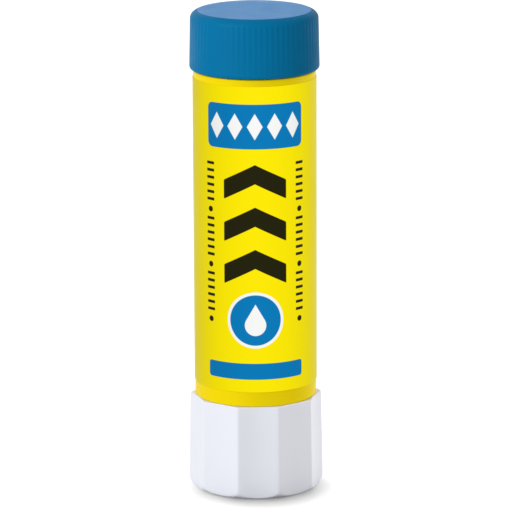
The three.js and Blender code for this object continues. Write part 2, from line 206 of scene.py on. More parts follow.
def trapezoid(offset, thread):
    # Share of a thread's height: 1 within the crest width, falling to 0 at the root width, with soft edges
    flank = (thread["rootWidth"] - thread["crestWidth"]) / 2
    return ease((thread["rootWidth"] / 2 - np.abs(offset)) / flank)


def startedThread(angle, height, thread):
    # Ridge k starts at angle start + k turn / starts and climbs lead per turn. Its centre line is at
    # bottom + climb, it stops after the rise, and both ends sink into the wall over the run-out.
    share = np.zeros(angle.shape)
    for k in range(thread["starts"]):
        swept = np.mod(angle - math.radians(thread["start"]) - k * fullTurn / thread["starts"], fullTurn)
        climb = thread["lead"] * swept / fullTurn
        grown = ease(np.minimum(climb, thread["rise"] - climb) / thread["runOut"])
        share = np.maximum(share, trapezoid(height - thread["bottom"] - climb, thread) * grown)
    return share


def endlessThread(angle, height, thread):
    # Left-hand ridge with its centre line at bottom - lead * angle / turn, repeated every lead. It is
    # fully grown where the centre line lies between low and high, and sinks over the run-out past them.
    rise = height - thread["bottom"] + thread["lead"] * angle / fullTurn
    offset = np.mod(rise + thread["lead"] / 2, thread["lead"]) - thread["lead"] / 2
    centre = height - offset
    grown = ease(np.minimum(centre - thread["low"], thread["high"] - centre) / thread["runOut"] + 1)
    return trapezoid(offset, thread) * grown


def hexReach(angle, flats):
    # Radius of a hexagon whose flats face 0, 60, 120 degrees and so on: half the width across the flats
    # / cos(angle from the nearest flat's middle)
    sixth = math.pi / 3
    return flats / 2 / np.cos(np.mod(angle + sixth / 2, sixth) - sixth / 2)


# Material helpers

def toLinear(colour):
    # sRGB hex to linear: c / 12.92 up to 0.04045, and ((c + 0.055) / 1.055) ^ 2.4 above
    value = np.array([int(colour[i:i + 2], 16) / 255 for i in (1, 3, 5)])
    linear = np.where(value <= 0.04045, value / 12.92, ((value + 0.055) / 1.055) ** 2.4)
    return (*linear.tolist(), 1.0)


def addNode(tree, kind, inputs=None, **settings):
    # One node with its settings. An input that is a socket gets a link, and any other is set as a value.
    node = tree.nodes.new(kind)
    for name, value in settings.items():
        setattr(node, name, value)
    for key, value in (inputs or {}).items():
        if isinstance(value, bpy.types.NodeSocket):
            tree.links.new(value, node.inputs[key])
        else:
            node.inputs[key].default_value = value
    return node


def finished(name, look, ground=None):
    # A moulded or extruded surface. Two near shades mix in patches, fine grain tilts the surface and the
    # roughness drifts between two values. ground(tree, place, patches) may give another base colour.
    material = bpy.data.materials.new(name)
    material.use_nodes = True
    tree = material.node_tree
    tree.nodes.clear()
    place = addNode(tree, "ShaderNodeTexCoord").outputs["Object"]
    patches = addNode(tree, "ShaderNodeTexNoise", {
        "Vector": place, "Scale": 1000 / look["patch"], "Detail": 3.0, "Roughness": 0.55})
    if ground:
        colour = ground(tree, place, patches.outputs["Fac"])
    else:
        colour = addNode(tree, "ShaderNodeMix", {
            0: patches.outputs["Fac"], 6: toLinear(look["colour"]), 7: toLinear(look["shade"])},
            data_type="RGBA").outputs[2]
    grain = addNode(tree, "ShaderNodeTexNoise", {
        "Vector": place, "Scale": 1000 / look["grain"], "Detail": 2.0, "Roughness": 0.5})
    bump = addNode(tree, "ShaderNodeBump", {
        "Strength": look["bump"], "Distance": look["grainDepth"] * 0.001, "Height": grain.outputs["Fac"]})
    rough = addNode(tree, "ShaderNodeMapRange", {
        "Value": patches.outputs["Fac"], "From Min": 0.3, "From Max": 0.7,
        "To Min": look["roughness"][0], "To Max": look["roughness"][1]})
    shader = addNode(tree, "ShaderNodeBsdfPrincipled", {
        "Base Color": colour, "Roughness": rough.outputs["Result"], "Normal": bump.outputs["Normal"],
        "IOR": look["ior"], "Specular IOR Level": look["specular"]})
    for socket, value in look.get("extra", {}).items():
        shader.inputs[socket].default_value = value
    addNode(tree, "ShaderNodeOutputMaterial", {"Surface": shader.outputs["BSDF"]})
    return material


# Cap

cap = {
    "ribDepth": 0.075,  # as shallow as the moulded ones look
    "ribs": 72,
    "ribColumns": 8,  # columns on one rib
    "smoothBand": 0.95,  # plain stretch under the flat top
    "ribFade": 0.6,
    "flare": 0.25,  # the skirt widens this much towards the lip
    "shoulderWidth": 1.6,
    "shoulderDrop": 1.5,
    "shoulderSteps": 14,
    "edgeSlope": 22,  # degrees at which the shoulder leaves the flat top
    "crispEdge": 0.14,
    "lipRound": 0.7,
    "inner": 12.4,  # radius inside the skirt
    "recess": 11.05,  # radius of the recess above the seal
    "seatBelowTop": 3.95,
    "roof": 1.65,  # thickness over the recess
    "recessRound": 0.3,
    "smallRound": 0.12,
    "thread": {"lead": 6, "starts": 2, "rootWidth": 1.3, "crestWidth": 0.7, "rise": 3.3, "runOut": 0.6,
               "start": 60, "height": 0.55},
    "threadAboveLip": 1.232,  # from the lip up to the start of the ridges' centre line
    "blue": "#0371A2",
    "blueShade": "#026D9C",
    # Paler blue on the flat top: a painted reflection of bright surroundings, not a colour of the plastic
    "paintedReflection": "#5F9BD6",
    "paintedReflectionShade": "#5391CC",
    "paintedReflectionBelow": (0.06, 0.02),  # mm under the top at which the painted reflection begins and is full
}


def paintedReflectionTop(tree, place, patches):
    # Blue all over, and on the flat top a paler blue in patches, painted as the reflection of bright
    # surroundings, where its height passes the edge's
    parts = addNode(tree, "ShaderNodeSeparateXYZ", {0: place})
    begins, full = ((extent("cap")[2] - below) * 0.001 for below in cap["paintedReflectionBelow"])
    onTop = addNode(tree, "ShaderNodeMapRange", {
        "Value": parts.outputs["Z"], "From Min": begins, "From Max": full})
    side = addNode(tree, "ShaderNodeMix", {
        0: patches, 6: toLinear(cap["blue"]), 7: toLinear(cap["blueShade"])}, data_type="RGBA")
    paintedReflection = addNode(tree, "ShaderNodeMix", {
        0: patches, 6: toLinear(cap["paintedReflection"]), 7: toLinear(cap["paintedReflectionShade"])}, data_type="RGBA")
    return addNode(tree, "ShaderNodeMix", {
        0: onTop.outputs["Result"], 6: side.outputs[2], 7: paintedReflection.outputs[2]}, data_type="RGBA").outputs[2]


capPlastic = finished("mouldedBluePolypropylene", {
    # Polypropylene, injection moulded: even colour, soft sheen, faint orange peel from the tool; the paler
    # flat top is a painted reflection
    "patch": 5, "grain": 0.7, "grainDepth": 0.02, "bump": 0.15,
    "roughness": (0.38, 0.48), "ior": 1.49, "specular": 0.035}, ground=paintedReflectionTop)


def capShell(size):
    # Profile: flat top, shoulder r = outer - width (1 - cos a) / (1 - sin slope) with
    # z = level + drop sin a / cos slope, flared skirt, round lip, inner wall, seat, recess.
    # Ribs: depth (|cos(ribs angle / 2)| - 1/2). The thread stands inwards on the inner wall.
    reach, bottom, top = extent("cap")
    skirt = reach - size["ribDepth"] / 2
    shoulder = skirt - size["flare"]
    level = top - size["shoulderDrop"]
    slope = math.radians(size["edgeSlope"])
    a = np.linspace(math.pi / 2 - slope, 0, size["shoulderSteps"])[1:-1]
    arcRadius = shoulder - size["shoulderWidth"] * (1 - np.cos(a)) / (1 - math.sin(slope))
    arcHeight = level + size["shoulderDrop"] * np.sin(a) / math.cos(slope)
    seat = top - size["seatBelowTop"]
    ceiling = top - size["roof"]
    small = size["smallRound"]
    outline = outlineOf([
        (0, top),
        (shoulder - size["shoulderWidth"], top, size["crispEdge"], 1),
        *[(r, z, 0, 1, 1) for r, z in zip(arcRadius, arcHeight)],
        (shoulder, level, 0, 0.6, 1),
        (skirt, bottom, size["lipRound"], 0.5, 0.4),
        (size["inner"], bottom, small, 0.17),
        (size["inner"], seat, small, 0.5),
        (size["recess"], seat, small, 0.5),
        (size["recess"], ceiling, size["recessRound"]),
        (0, ceiling),
    ])
    radius, height, weight, angle = spun(outline, size["ribs"] * size["ribColumns"])
    fade = ease((top - size["smoothBand"] - height) / size["ribFade"])
    ribs = np.abs(np.cos(size["ribs"] * angle / 2)) - 0.5
    thread = dict(size["thread"], bottom=bottom + size["threadAboveLip"])
    onWall = np.isclose(radius, size["inner"])
    inward = np.where(onWall, thread["height"] * startedThread(angle, height, thread), 0)
    radius += size["ribDepth"] * ribs * fade * weight - inward
    return radius, height, angle


addPiece("capShell", capShell(cap), capPlastic, "cap", "cap")


# Sealing ring

seal = {"inner": 11.05, "round": 0.25, "columns": 240}

sealFoam = finished("dieCutFoam", {
    # Closed-cell polyethylene foam, die cut: matt, pale grey, with fine pores
    "colour": "#D9DDE0", "shade": "#CDD2D6", "patch": 1.2, "grain": 0.35, "grainDepth": 0.06, "bump": 0.5,
    "roughness": (0.7, 0.85), "ior": 1.45, "specular": 0.3})


def sealRing(size):
    # Profile: a rounded rectangle carried round the axis
    outer, bottom, top = extent("cap_seal")
    corners = [(size["inner"], bottom), (outer, bottom), (outer, top), (size["inner"], top)]
    outline = outlineOf([(r, z, size["round"], 1) for r, z in corners], closed=True)
    radius, height, _, angle = spun(outline, size["columns"])
    return radius, height, angle


addPiece("sealRing", sealRing(seal), sealFoam, "cap_seal", "cap_seal", wrapRows=True)


# Barrel

barrel = {
    "bore": 10.8,  # radius, as are neck, spigot and floorHole
    "neck": 11.7,
    "neckHeight": 7.0,
    "edge": 0.15,
    "fullBottom": 6.73,  # from the end of the spigot up to the full-width part
    "spigot": 11.65,
    "lipReach": 0.45,
    "lipHeight": 1.2,
    "floorRise": 0.87,  # from the bottom of the full-width part up to the floor plate
    "floorThickness": 1.5,
    "floorHole": 3.5,
    "rails": 4,
    "railHeight": 0.5,
    "railWidth": 1.4,
    "railHeadroom": 4.5,  # from the end of a rail up to the rim
    "railRunOut": 0.3,
    "railFoot": 0.05,
    "railSoft": 0.12,  # width over which a rail's side rises
    "cornerRound": 0.2,
    "mouthRound": 0.3,
    "stepRound": 0.05,
    "neckRound": 0.08,
    "smallRound": 0.1,
    "columns": 360,
    "thread": {"lead": 6, "starts": 2, "rootWidth": 1.3, "crestWidth": 0.7, "rise": 4.2, "runOut": 0.6,
               "start": 0, "height": 0.55},
    "threadAboveShoulder": 1.45,
}

barrelPlastic = finished("mouldedYellowPolypropylene", {
    # Polypropylene, injection moulded: a touch deeper than the label's ink, smooth and a little glossy
    "colour": "#F0D804", "shade": "#ECCF03", "patch": 7, "grain": 0.9, "grainDepth": 0.015, "bump": 0.12,
    "roughness": (0.28, 0.38), "ior": 1.49, "specular": 0.04})


def barrelShell(size):
    # Profile: spigot with its snap lip, chamfered full width, neck, mouth, bore, floor plate with a hole.
    # Neck: radius + height * thread share. Rails: radius = min(bore, (bore - railHeight) / cos(angle from
    # the rail's middle)) where the point lies within the rail's width and below its end.
    reach, bottom, top = extent("barrel")
    low = bottom + size["fullBottom"]
    shoulder = top - size["neckHeight"]
    lipTop = bottom + size["lipHeight"]
    lip = size["spigot"] + size["lipReach"]
    underside = low + size["floorRise"]
    floor = underside + size["floorThickness"]
    small = size["smallRound"]
    outline = outlineOf([
        (size["bore"], bottom, small),
        (size["spigot"], bottom, small, 0.5),
        (lip, bottom + size["lipHeight"] / 3, small),
        (lip, bottom + size["lipHeight"] * 2 / 3, small),
        (size["spigot"], lipTop, small),
        (size["spigot"], low, size["stepRound"], 1),
        (reach - size["edge"], low, small, 1),
        (reach, low + size["edge"], small),
        (reach, shoulder - size["edge"], small, 1),
        (reach - size["edge"], shoulder, small, 1),
        (size["neck"], shoulder, size["neckRound"], 0.15),
        (size["neck"], top, size["mouthRound"], 0.3),
        (size["bore"], top, size["mouthRound"], 0.6),
        (size["bore"], top - size["railHeadroom"] - 1, 0, 3),  # short rows end just below the rails' ends
        (size["bore"], floor, size["cornerRound"], 2),
        (size["floorHole"], floor, small, 1),
        (size["floorHole"], underside, small, 2),
        (size["bore"], underside, size["cornerRound"], 3),
    ], closed=True)
    radius, height, _, angle = spun(outline, size["columns"])
    thread = dict(size["thread"], bottom=shoulder + size["threadAboveShoulder"])
    onNeck = np.isclose(radius, size["neck"])
    radius += np.where(onNeck, thread["height"] * startedThread(angle, height, thread), 0)
    apart = fullTurn / size["rails"]
    fromRail = np.mod(angle, apart) - apart / 2
    face = (size["bore"] - size["railHeight"]) / np.cos(fromRail)
    inWidth = ease((size["railWidth"] / 2 - np.abs(face * np.sin(fromRail))) / size["railSoft"] + 0.5)
    inLength = ease((top - size["railHeadroom"] - height) / size["railRunOut"])
    inLength = inLength * ease((height - floor) / size["railFoot"] + 1)
    inBore = np.isclose(radius, size["bore"]) & (height >= floor - mesher["slack"])
    radius -= np.where(inBore, (size["bore"] - face) * inWidth * inLength, 0)
    return radius, height, angle


addPiece("barrelShell", barrelShell(barrel), barrelPlastic, "barrel", "barrel",
         wrapRows=True)


# Label

label = {
    "film": 0.1,
    "adhesive": 0.03,
    "overlap": 12,  # degrees of film on film
    "climb": 5,  # degrees over which the film climbs onto itself
    "back": 90,  # degrees, where the film starts
    "edgeRound": 0.03,
    "columns": 745,
    "ground": "#FEEC02",
    "groundShade": "#FBE702",
    "printEdge": 0.09,  # softness of a printed edge
    "wrapSlack": 0.001,  # keeps the first and last copy of a motif inside their own stretch
}

ink = {"blue": "#0679B9", "black": "#201F08", "white": "#F6F8F8"}

# Each motif: middle (mm round from the front, mm above the foot) and half sizes. With a corner radius
# it is a block, a disc or a bar, else a diamond. It may repeat downwards, bend down to both sides, or be
# mirrored to the other side.
motifs = [
    {"ink": "blue", "middle": (0, 78.2), "half": (10.6, 4.6), "corner": 1.2},
    *[{"ink": "white", "middle": (across, 78.2), "half": (1.6, 2.7), "mirrored": True}
      for across in (0, 4.1, 8.2)],
    {"ink": "black", "middle": (0, 68.4), "half": (6.6, 2.0), "corner": 0.25, "bend": 0.5, "count": 3,
     "pitch": 8.8},
    *[{"ink": "black", "middle": (10.0, up), "half": (1.0, 0.3), "corner": 0.1, "count": 6, "pitch": 1.5,
       "mirrored": True} for up in (70.2, 58.7, 47.2)],
    {"ink": "black", "middle": (10.0, 60.6), "half": (0.6, 0.6), "corner": 0.6, "count": 3, "pitch": 11.5,
     "mirrored": True},
    {"ink": "white", "middle": (0, 38.0), "half": (5.9, 5.9), "corner": 5.9},
    {"ink": "blue", "middle": (0, 38.0), "half": (5.3, 5.3), "corner": 5.3},
    {"ink": "white", "middle": (0, 36.95), "half": (2.2, 2.2), "corner": 2.2},
    {"ink": "white", "middle": (0, 38.05), "half": (1.91, 3.3)},
    {"ink": "blue", "middle": (0, 27.2), "half": (10.6, 1.7), "corner": 0.6},
]


def printedGround(tree, place, patches):
    # Place round the film = film radius * atan2(x, -y). A motif with half sizes a and b covers, with a
    # corner r, hypot(max(|across| - a + r, 0), max(|up| - b + r, 0)) < r, and else
    # |across| / a + |up| / b < 1. A bent motif first adds bend |across| to the height, and a repeated one
    # then wraps it.
    parts = addNode(tree, "ShaderNodeSeparateXYZ", {0: place})
    front = addNode(tree, "ShaderNodeMath", {0: parts.outputs["Y"], 1: -1.0}, operation="MULTIPLY")
    turn = addNode(tree, "ShaderNodeMath", {0: parts.outputs["X"], 1: front.outputs[0]},
                   operation="ARCTAN2")
    around = addNode(tree, "ShaderNodeMath", {0: turn.outputs[0], 1: label["outer"]},
                     operation="MULTIPLY")
    above = addNode(tree, "ShaderNodeMath", {0: parts.outputs["Z"], 1: 1000.0}, operation="MULTIPLY")
    colour = addNode(tree, "ShaderNodeMix", {
        0: patches, 6: toLinear(label["ground"]), 7: toLinear(label["groundShade"])}, data_type="RGBA")
    for motif in motifs:
        across, up = motif["half"]
        count, pitch = motif.get("count", 1), motif.get("pitch", 0)
        bend = motif.get("bend", 0)
        corner = motif.get("corner", 0)
        scale = corner or across * up / math.hypot(across, up)
        bends = [("SUBTRACT", motif["middle"][0]), ("ABSOLUTE",), ("MULTIPLY", bend),
                 ("ADD", above.outputs[0])]
        slack = label["wrapSlack"]
        repeats = [("MINIMUM", pitch / 2 - slack), ("MAXIMUM", (0.5 - count) * pitch + slack),
                   ("WRAP", pitch / 2, -pitch / 2)]
        sums = []
        for axis, half in enumerate(motif["half"]):
            steps = [("SUBTRACT", motif["middle"][axis])]
            if axis == 0 and motif.get("mirrored"):
                steps = [("ABSOLUTE",)] + steps
            if axis == 1 and bend:
                steps = bends + steps
            if axis == 1 and count > 1:
                steps += repeats
            steps += [("ABSOLUTE",), ("SUBTRACT", half - corner if corner else 0.0), ("MAXIMUM", 0.0),
                      ("DIVIDE", corner or half), ("POWER", 2.0 if corner else 1.0)]
            value = above.outputs[0] if axis == 1 and not bend else around.outputs[0]
            for operation, *others in steps:
                inputs = dict(enumerate([value, *others]))
                value = addNode(tree, "ShaderNodeMath", inputs, operation=operation).outputs[0]
            sums.append(value)
        total = addNode(tree, "ShaderNodeMath", {0: sums[0], 1: sums[1]}, operation="ADD")
        root = addNode(tree, "ShaderNodeMath", {0: total.outputs[0], 1: 0.5 if corner else 1.0},
                       operation="POWER")
        edge = label["printEdge"] / scale / 2
        cover = addNode(tree, "ShaderNodeMapRange", {
            "Value": root.outputs[0], "From Min": 1 + edge, "From Max": 1 - edge})
        colour = addNode(tree, "ShaderNodeMix", {
            0: cover.outputs["Result"], 6: colour.outputs[2], 7: toLinear(ink[motif["ink"]])},
            data_type="RGBA")
    return colour.outputs[2]


def labelFilm(size):
    # Swept angle s runs past a full turn. The rounded strip profile is carried round with its radius
    # raised by (film + adhesive) ease((s - full turn + climb) / climb), so its end lies on its start.
    _, bottom, top = extent("label")
    inner = extent("barrel")[0] + size["adhesive"]
    outer = inner + size["film"]
    strip = outlineOf([(r, z, size["edgeRound"], 3) for r, z in (
        (inner, bottom), (outer, bottom), (outer, top), (inner, top))], closed=True)
    sweep = np.radians(np.linspace(0, 360 + size["overlap"], size["columns"]))[None]
    climb = math.radians(size["climb"])
    lift = (size["film"] + size["adhesive"]) * ease((sweep - fullTurn + climb) / climb)
    radius = strip[:, 0:1] + lift
    height = strip[:, 1:2] + 0 * sweep
    return radius, height, math.radians(size["back"]) + sweep + 0 * radius


label["outer"] = extent("barrel")[0] + label["adhesive"] + label["film"]
printedFilm = finished("printedPolypropyleneFilm", {
    # Polypropylene film, gravure printed in flat inks and wrapped: even, smooth, with a light gloss
    "patch": 11, "grain": 1.6, "grainDepth": 0.01, "bump": 0.12,
    "roughness": (0.3, 0.38), "ior": 1.49, "specular": 0.04}, ground=printedGround)
addPiece("labelFilm", labelFilm(label), printedFilm, "barrel", "label",
         wrapRows=True, wrapColumns=False)


# Knob

knob = {
    "height": 19.65,  # without the hub
    "low": 14.05,  # reach of the ridges just above the round foot
    "high": 13.7,  # and at the top
    "footRound": 2.05,
    "footSteps": 26,
    "topEdge": 0.25,
    "flutes": 10,
    "hollow": 0.37,  # how far a flute lies inside the chord between its ridges
    "fluteTurn": 2,  # degrees from the front to the middle of the nearest flute
    "ridgeSoft": 0.016,  # radians
    "footBlend": 0.25,
    "footStart": 0.15,  # share of the foot's height over which the flutes set in
    "recess": 1.2,  # height of the hollow under the foot
    "ringWidth": 1.6,
    "floor": 2,  # thickness over the recess
    "well": 11.85,  # radius, as are groove and hub
    "groove": 12.3,
    "grooveBottom": 12.65,
    "grooveTop": 14.45,
    "grooveSlope": 0.45,
    "hub": 5.2,
    "socketFlats": 5.3,
    "socketDepth": 12,
    "socketRound": 0.1,
    "socketMouth": 1,  # stretch at the mouth in which no row belongs to the socket's floor
    "webs": 4,
    "webThickness": 1.1,
    "webHeight": 6,
    "webSoft": 0.08,  # width over which a web's side rises
    "squeeze": 0.002,  # rows that a web swallows keep this share of their distance
    "cornerRound": 0.3,
    "smallRound": 0.15,
    "columns": 480,
}

knobPlastic = finished("mouldedWhitePolypropylene", {
    # Polypropylene with white pigment, injection moulded: satin, a shade cooler than paper
    "colour": "#E8EAF3", "shade": "#E4E6EF", "patch": 8, "grain": 0.8, "grainDepth": 0.02, "bump": 0.12,
    "roughness": (0.3, 0.4), "ior": 1.49, "specular": 0.2})


def knobBody(size):
    # Profile: foot ring round a recess, quarter-round foot, wall, ledge, well with a snap groove, hub.
    # Flute: ridge cos(half) / cos(d) - hollow (1 - (d / half)^2), with d the angle from the flute's middle
    # and the ridge softened by sqrt(q^2 + soft^2), q = half - |d|. The foot takes over by a smooth
    # minimum. Webs lift the floor where |radius sin(angle from web)| < thickness / 2. The socket is a
    # hexagon.
    _, bottom, hubTop = extent("knob")
    top = bottom + size["height"]
    foot = size["low"] - size["footRound"]
    ring = foot - size["ringWidth"]
    floor = bottom + size["recess"] + size["floor"]
    socket = size["socketFlats"] / math.sqrt(3)
    socketFloor = hubTop - size["socketDepth"]
    small = size["smallRound"]
    outline = outlineOf([
        (0, bottom + size["recess"]),
        (ring, bottom + size["recess"], small),
        (ring, bottom, small, 1),
        (foot, bottom, 0, 0.1, 1),
        *[(foot + size["footRound"] * math.sin(a), bottom + size["footRound"] * (1 - math.cos(a)), 0, 1, 1)
          for a in np.linspace(0, math.pi / 2, size["footSteps"])[1:]],
        (size["low"], top, size["topEdge"], 1, 1),
        (size["well"], top, small, 1),
        (size["well"], size["grooveTop"], small),
        (size["groove"], size["grooveTop"] - size["grooveSlope"], small),
        (size["groove"], size["grooveBottom"] + size["grooveSlope"], small),
        (size["well"], size["grooveBottom"], small, 1),
        (size["well"], floor, size["cornerRound"], 1),
        (size["hub"], floor, size["cornerRound"], 1.5),
        (size["hub"], hubTop, small, 1),
        (socket, hubTop, small, 2),
        (socket, socketFloor, size["socketRound"], 1),
        (0, socketFloor),
    ])
    radius, height, weight, angle = spun(outline, size["columns"])
    half = math.pi / size["flutes"]
    turned = angle + math.pi / 2 - math.radians(size["fluteTurn"])
    fromMiddle = np.abs(np.mod(turned + half, 2 * half) - half)
    fromMiddle = half - np.sqrt((half - fromMiddle) ** 2 + size["ridgeSoft"] ** 2)
    rise = np.clip((height - size["footRound"]) / (top - size["footRound"]), -1, 1)
    ridge = size["low"] + (size["high"] - size["low"]) * rise
    flute = ridge * math.cos(half) / np.cos(fromMiddle) - size["hollow"] * (1 - (fromMiddle / half) ** 2)
    lowered = np.clip(1 - height / size["footRound"], 0, 1)
    limit = foot + size["footRound"] * np.sqrt(1 - lowered ** 2)
    mixed = np.clip(0.5 + (flute - limit) / size["footBlend"] / 2, 0, 1)
    joined = flute + (limit - flute) * mixed - size["footBlend"] * mixed * (1 - mixed)
    blendsIn = ease(height / size["footRound"] / size["footStart"])
    radius += np.where(weight > 0, (joined - limit) * weight * blendsIn, 0)
    onSocket = np.isclose(outline[:, 0:1], socket) & (height < hubTop)
    radius = np.where(onSocket, hexReach(angle, size["socketFlats"]), radius)
    onSocketFloor = (outline[:, 0:1] < socket) & (height < hubTop - size["socketMouth"]) & (height > floor)
    radius = np.where(onSocketFloor, radius / socket * hexReach(angle, size["socketFlats"]), radius)
    apart = fullTurn / size["webs"]
    fromWeb = np.mod(angle + apart / 2, apart) - apart / 2
    inWeb = ease((size["webThickness"] / 2 - np.abs(radius * np.sin(fromWeb))) / size["webSoft"] + 0.5)
    webTop = floor + size["webHeight"]
    inside = (height >= floor - mesher["slack"]) & (weight == 0)
    inside &= outline[:, 0:1] <= size["well"] + mesher["slack"]
    inside &= outline[:, 0:1] >= size["hub"] - mesher["slack"]
    lift = np.where(inside & (height < webTop), (webTop - height) * (1 - size["squeeze"]) * inWeb, 0)
    return radius, height + lift, angle


addPiece("knobBody", knobBody(knob), knobPlastic, "knob", "knob")


# Spindle

spindle = {
    "core": 2.1,  # radius, as are journal and flange
    "end": 1.2,  # plain end above the thread
    "tenonFlats": 5,
    "tenonLength": 11.7,
    "tenonRound": 0.3,
    "journal": 3.3,
    "journalLength": 2.1,
    "flange": 4.6,
    "flangeHeight": 1,
    "coneHeight": 1,
    "coneRound": 0.05,
    "smallRound": 0.1,
    "columns": 120,
    "thread": {"lead": 4.5, "rootWidth": 1.9, "crestWidth": 1.0, "height": 0.9, "runOut": 0.75},
}

naturalPlastic = finished("mouldedNaturalPolypropylene", {
    # Polypropylene without pigment, injection moulded: milky, slightly translucent, satin
    "colour": "#EEEEE9", "shade": "#E6E7E2", "patch": 6, "grain": 0.6, "grainDepth": 0.02, "bump": 0.15,
    "roughness": (0.4, 0.52), "ior": 1.49, "specular": 0.35})


def threadFoot(size):
    # Height at which the spindle's thread begins: over the tenon, the journal, the flange and its cone
    lengths = ("tenonLength", "journalLength", "flangeHeight", "coneHeight")
    return extent("spindle")[1] + sum(size[length] for length in lengths)


def spindleRod(size):
    # Profile: hexagon tenon, journal, flange, cone, core with a plain end. Thread: core + height * share.
    _, bottom, top = extent("spindle")
    hubTop = bottom + size["tenonLength"]
    flangeBottom = hubTop + size["journalLength"]
    flangeTop = flangeBottom + size["flangeHeight"]
    threadBottom = threadFoot(size)
    crest = size["core"] + size["thread"]["height"]
    corner = size["tenonFlats"] / math.sqrt(3)
    small = size["smallRound"]
    outline = outlineOf([
        (0, bottom),
        (corner, bottom, size["tenonRound"], 2),
        (corner, hubTop, 0, 1),
        (size["journal"], hubTop, small, 1),
        (size["journal"], flangeBottom, small, 1),
        (size["flange"], flangeBottom, small, 1),
        (size["flange"], flangeTop, small, 1),
        (crest, threadBottom, small, 0.4),
        (size["core"], threadBottom, size["coneRound"], 0.16),
        (size["core"], top - size["end"] / 2, small, 0.3),
        (size["core"] - size["end"] / 2, top, small, 1),
        (0, top),
    ])
    radius, height, _, angle = spun(outline, size["columns"])
    onTenon = height < hubTop
    radius = np.where(onTenon, radius / corner * hexReach(angle, size["tenonFlats"]), radius)
    halfRoot = size["thread"]["rootWidth"] / 2
    thread = dict(size["thread"], bottom=threadBottom, low=threadBottom + halfRoot,
                  high=top - size["end"] - halfRoot)
    onCore = np.isclose(outline[:, 0:1], size["core"]) & (height > threadBottom)
    radius = radius + np.where(onCore, thread["height"] * endlessThread(angle, height, thread), 0)
    return radius, height, angle


addPiece("spindleRod", spindleRod(spindle), naturalPlastic, "knob", "spindle")


# Carrier

carrier = {
    "wall": 1,
    "webBottom": 2.3,
    "webThickness": 1.5,
    "nut": 4.6,  # radius, as are bore and slotFloor
    "nutHeight": 5,
    "bore": 2.25,
    "slots": 4,  # the glue has the same slots
    "slotFloor": 10.05,
    "slotDepth": 0.5,
    "slotWidth": 1.9,
    "slotSoft": 0.1,  # width over which a slot's side falls
    "cornerRound": 0.3,
    "smallRound": 0.12,
    "columns": 240,
    "squeeze": 0.002,  # points that a slot swallows keep this share of their distance
    "thread": {"lead": 4.5, "rootWidth": 2.2, "crestWidth": 1.3, "height": 0.9, "runOut": 0.1},
}


def slotted(radius, angle, size):
    # Inside a slot the radius is held at slotFloor / cos(angle from the slot's middle)
    apart = fullTurn / size["slots"]
    fromSlot = np.mod(angle, apart) - apart / 2
    floor = size["slotFloor"] / np.cos(fromSlot)
    inSlot = ease((size["slotWidth"] / 2 - np.abs(radius * np.sin(fromSlot))) / size["slotSoft"] + 0.5)
    return radius - np.maximum(radius - floor, 0) * inSlot * (1 - size["squeeze"])


def carrierCup(size):
    # Profile: nut bore, web, skirt, cup wall, nut. Its groove is the spindle's ridge with clearance, cut
    # for two leads past both ends of the nut, so that it runs out of them at full depth.
    _, bottom, top = extent("carrier")
    outer = size["slotFloor"] + size["slotDepth"]
    cup = outer - size["wall"]
    webBottom = bottom + size["webBottom"]
    webTop = webBottom + size["webThickness"]
    nutTop = webTop + size["nutHeight"]
    small = size["smallRound"]
    outline = outlineOf([
        (size["bore"], webBottom, small, 1),
        (cup, webBottom, size["cornerRound"], 1),
        (cup, bottom, small, 0.3),
        (outer, bottom, small, 1),
        (outer, top, small, 0.3),
        (cup, top, small, 1),
        (cup, webTop, size["cornerRound"], 1),
        (size["nut"], webTop, size["cornerRound"], 1),
        (size["nut"], nutTop, small, 1),
        (size["bore"], nutTop, small, 0.12),
    ], closed=True)
    radius, height, _, angle = spun(outline, size["columns"])
    past = 2 * size["thread"]["lead"]
    thread = dict(size["thread"], bottom=threadFoot(spindle), low=webBottom - past, high=nutTop + past)
    radius = np.maximum(radius, size["bore"] + thread["height"] * endlessThread(angle, height, thread))
    return slotted(radius, angle, size), height, angle


addPiece("carrierCup", carrierCup(carrier), naturalPlastic, "carrier", "carrier",
         wrapRows=True)


# Glue

glue = {
    "outer": 10.55,
    "inCup": 9.45,
    "cupTop": 7.2,  # from the bottom of the glue up to the rim of the carrier's cup
    "hollow": 4.8,  # radius of the hollow round the nut
    "nutTop": 5.0,
    "bore": 3.25,
    "footRound": 0.2,
    "castRound": 0.3,
    "innerRound": 0.1,
    "edgeRound": 0.15,
    "boreRound": 0.35,
    "tipRound": 2.2,
    "waves": ((2, 0.7, 1), (3, 2.1, 0.6), (7, 4.4, 0.3)),  # count round the tip, phase, share
    "waveHeight": 0.09,
    "worn": 0.18,  # how far the whole tip is worn down
    "wornBelow": 0.5,  # the wear reaches this far below the tip's round edge
    "columns": 240,
}

gluePaste = finished("castGluePaste", {
    # Soap-based glue paste, cast and worn by use: waxy, faintly translucent, rubbed smooth in patches
    "colour": "#6F8FD0", "shade": "#5D7EC4", "patch": 4, "grain": 0.9, "grainDepth": 0.08, "bump": 0.5,
    "roughness": (0.35, 0.6), "ior": 1.45, "specular": 0.4,
    "extra": {"Subsurface Weight": 0.15, "Subsurface Radius": (0.6, 0.8, 1.2), "Subsurface Scale": 0.001}})


